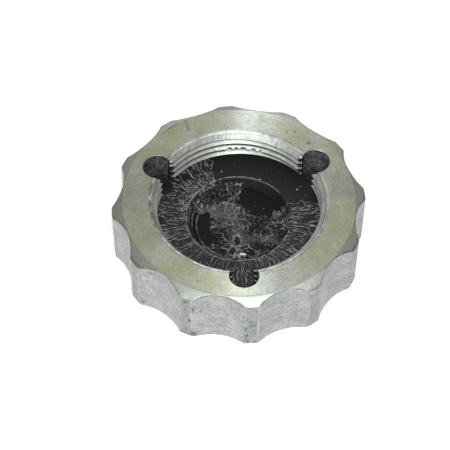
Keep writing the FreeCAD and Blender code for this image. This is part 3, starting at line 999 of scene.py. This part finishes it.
# In the order of CAST, TURNED, THREAD, CORED, EDGE and BARE
CAP_MATERIALS = [
    cast_metal(),
    turned("turned_face", dull="B4B6AF", bright="CCCEC8", worn="888A80", tint="AEB08C",
           grit=0.6, streaks=0.25, roughness=0.55, anisotropy=0.92, marks=MARKS),
    turned("turned_thread", dull="93958F", bright="A8AAA5", worn="73756D", tint="73756F",
           grit=0.5, streaks=0.4, roughness=0.46, anisotropy=0.2),
    cored_metal(),
    turned("turned_edge", dull="7E807A", bright="8E918A", worn="6A6C66", tint="85876F",
           grit=0.6, streaks=0.35, roughness=0.41, anisotropy=0.2, turn=0.0),
    turned("worn_edge", dull="8E9189", bright="C9CCC8", worn="7A7C74", tint="7A7C74",
           grit=0.6, streaks=0.3, roughness=0.45, anisotropy=0.2),
]

cap = cap_blank(CAP_MATERIALS)
cut(cap, [notch_cutter(azimuth, 50 + index, CAP_MATERIALS) for index, azimuth in enumerate(NOTCH_AZIMUTHS)])
weather_cap(cap)
ring = sealing_ring([rubber()])

for piece, node, angle in ((cap, "cap_body", 26), (ring, "sealing_ring", 50)):
    piece.data.shade_smooth()
    piece.data.set_sharp_from_angle(angle=math.radians(angle))
    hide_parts(node)
    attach(piece, "root")

# Floor: pale, and lifted to white for the camera and in reflections

FLOOR_GLOW = 0.34
FLOOR_REACH = 6

pale = Nodes(bpy.data.materials.new("pale_floor"))
rays = pale.add("ShaderNodeLightPath").outputs
seen = pale.math("MAXIMUM", rays["Is Camera Ray"], rays["Is Glossy Ray"])
strength = pale.math("MULTIPLY", seen, FLOOR_GLOW)
glow = pale.add("ShaderNodeEmission", {"Color": (1, 1, 1, 1), "Strength": strength})
both = pale.add("ShaderNodeAddShader", {0: pale.shader.outputs[0], 1: glow.outputs[0]})
pale.set(pale.tree.nodes["Material Output"].inputs["Surface"], both.outputs[0])
floor_mesh = bpy.data.meshes.new("floor")
corners = [(x * FLOOR_REACH, y * FLOOR_REACH, 0) for x, y in ((-1, -1), (1, -1), (1, 1), (-1, 1))]
floor_mesh.from_pydata(corners, [], [(0, 1, 2, 3)])
floor_mesh.materials.append(pale.finish(Base_Color=(0.86, 0.86, 0.86, 1), Roughness=0.9))
floor = placed("floor", floor_mesh)

# World: white to the camera and in reflections, a plain level elsewhere

WORLD_LEVEL = 0.16

studio = Nodes(bpy.data.worlds.new("studio"), "Background")
rays = studio.add("ShaderNodeLightPath").outputs
white = studio.math("MAXIMUM", rays["Is Camera Ray"], rays["Is Glossy Ray"])
white = studio.math("MAXIMUM", white, rays["Is Transmission Ray"])
strength = studio.span(white, 0.0, 1.0, WORLD_LEVEL, 1.0)
bpy.context.scene.world = studio.finish(Color=(1, 1, 1, 1), Strength=strength)

# Lamps


def lamp(name, direction, distance, size, energy):
    """A square soft light that faces the cap, in metres and watts."""
    data = bpy.data.lights.new(name, "AREA")
    data.shape = "SQUARE"
    data.size = size
    data.energy = energy
    data.color = (0.96, 1.0, 1.03)
    light = placed(name, data)
    z = np.array(direction, float) / np.linalg.norm(direction)
    x = np.cross((0, 1, 0), z)
    x /= np.linalg.norm(x)
    light.location = z * distance + (0, 0, 0.02)
    light.rotation_euler = Matrix(np.stack([x, np.cross(z, x), z], -1)).to_euler()


lamp("key", (0.07, -0.53, 0.848), 0.9, 0.22, 6.75)
lamp("low", (-0.4, -0.75, 0.6), 1.0, 0.3, 3.9)
lamp("fill", (0.0, 0.97, 0.24), 1.2, 0.9, 4.6)

# Camera, solved from the photograph

# Focal length, rim_at and middle are in pixels. The distance is in metres, from the rim's centre.

PICTURE, SENSOR = 450.0, 36.0
elevation, distance, focal = math.radians(52.5436), 0.75578, 2192.16
rim_at, roll, middle = (238.467, 199.369), math.radians(1.2044), 224.5
back = np.array([0, -math.cos(elevation), math.sin(elevation)])
aim = np.array([(rim_at[0] - middle) / focal, -(rim_at[1] - middle) / focal, -1.0])
aim /= np.linalg.norm(aim)
right = np.array([1.0, 0, 0])
level_frame = np.stack([right, np.cross(back, right), back], -1)
# The tilt turns the camera until the rim's centre lies at rim_at
axis = np.cross(aim, (0, 0, -1.0))
k = np.array([[0, -axis[2], axis[1]], [axis[2], 0, -axis[0]], [-axis[1], axis[0], 0]])
tilt = np.eye(3) + k + k @ k * ((1 + aim[2]) / (axis @ axis))
spin = np.array([[math.cos(roll), -math.sin(roll), 0], [math.sin(roll), math.cos(roll), 0], [0, 0, 1]])
place = Matrix.Translation(back * distance + (0, 0, HEIGHT * 0.001))
camera = placed("camera", bpy.data.cameras.new("camera"))
camera.data.sensor_width = SENSOR
camera.data.lens = focal * SENSOR / PICTURE
camera.data.clip_start, camera.data.clip_end = 0.01, 50.0
camera.matrix_world = place @ Matrix(level_frame @ spin @ tilt).to_4x4()
bpy.context.scene.camera = camera
bpy.context.scene.view_settings.view_transform = "Standard"
